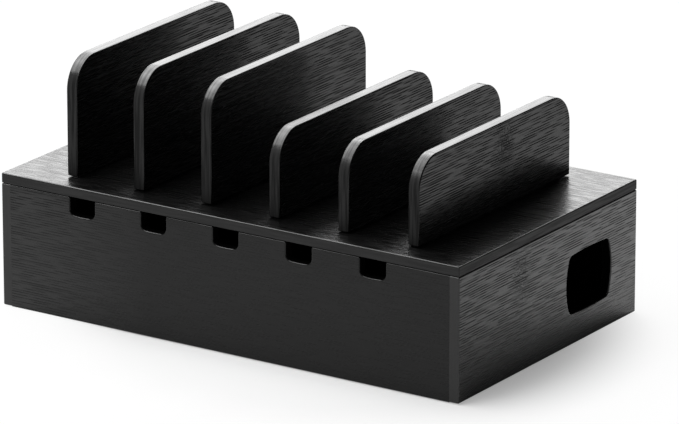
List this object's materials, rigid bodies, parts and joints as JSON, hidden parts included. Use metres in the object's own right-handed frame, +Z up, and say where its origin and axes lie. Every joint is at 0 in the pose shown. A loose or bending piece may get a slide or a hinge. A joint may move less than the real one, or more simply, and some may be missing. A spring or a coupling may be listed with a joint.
{
  "type": "charging station organizer",
  "caption": "Shallow black-stained bamboo case that hides a charger, with a lift-off lid that carries upright dividers, cable notches along the front and a cord opening in the right side.",
  "frame": {"origin": "on the surface it stands on, under the middle of the case", "axes": "+Z up, +X to the right and +Y to the back, seen from the side with the cable notches"},
  "size_m": [0.3, 0.183, 0.1456],
  "materials": {
    "stained_bamboo": "black stain under satin lacquer",
    "foot_rubber": "matte moulded rubber",
    "dowel_beech": "bare beech",
    "zinc_screw": "yellow zinc plated steel"
  },
  "bodies": {
    "case": {"front_panel": "stained_bamboo", "back_panel": "stained_bamboo", "left_side_panel": "stained_bamboo", "right_side_panel": "stained_bamboo", "bottom_panel": "stained_bamboo", "corner_dowels": "dowel_beech", "front_left_foot": "foot_rubber", "front_right_foot": "foot_rubber", "back_left_foot": "foot_rubber", "back_right_foot": "foot_rubber"},
    "lid": {"lid": "stained_bamboo", "left_lid_cleat": "stained_bamboo", "right_lid_cleat": "stained_bamboo", "cleat_screws": "zinc_screw"},
    "tall_divider_1": {"tall_divider_1": "stained_bamboo"},
    "tall_divider_2": {"tall_divider_2": "stained_bamboo"},
    "tall_divider_3": {"tall_divider_3": "stained_bamboo"},
    "short_divider_1": {"short_divider_1": "stained_bamboo"},
    "short_divider_2": {"short_divider_2": "stained_bamboo"},
    "short_divider_3": {"short_divider_3": "stained_bamboo"}
  },
  "joints": [
    {"name": "lid_lift", "type": "slide", "parent": "case", "child": "lid", "axis": [0, 0, 1], "range_m": [0, 0.04]},
    {"name": "tall_divider_1_lift", "type": "slide", "parent": "lid", "child": "tall_divider_1", "axis": [0, 0, 1], "range_m": [0, 0.03]},
    {"name": "tall_divider_2_lift", "type": "slide", "parent": "lid", "child": "tall_divider_2", "axis": [0, 0, 1], "range_m": [0, 0.03]},
    {"name": "tall_divider_3_lift", "type": "slide", "parent": "lid", "child": "tall_divider_3", "axis": [0, 0, 1], "range_m": [0, 0.03]},
    {"name": "short_divider_1_lift", "type": "slide", "parent": "lid", "child": "short_divider_1", "axis": [0, 0, 1], "range_m": [0, 0.03]},
    {"name": "short_divider_2_lift", "type": "slide", "parent": "lid", "child": "short_divider_2", "axis": [0, 0, 1], "range_m": [0, 0.03]},
    {"name": "short_divider_3_lift", "type": "slide", "parent": "lid", "child": "short_divider_3", "axis": [0, 0, 1], "range_m": [0, 0.03]}
  ]
}
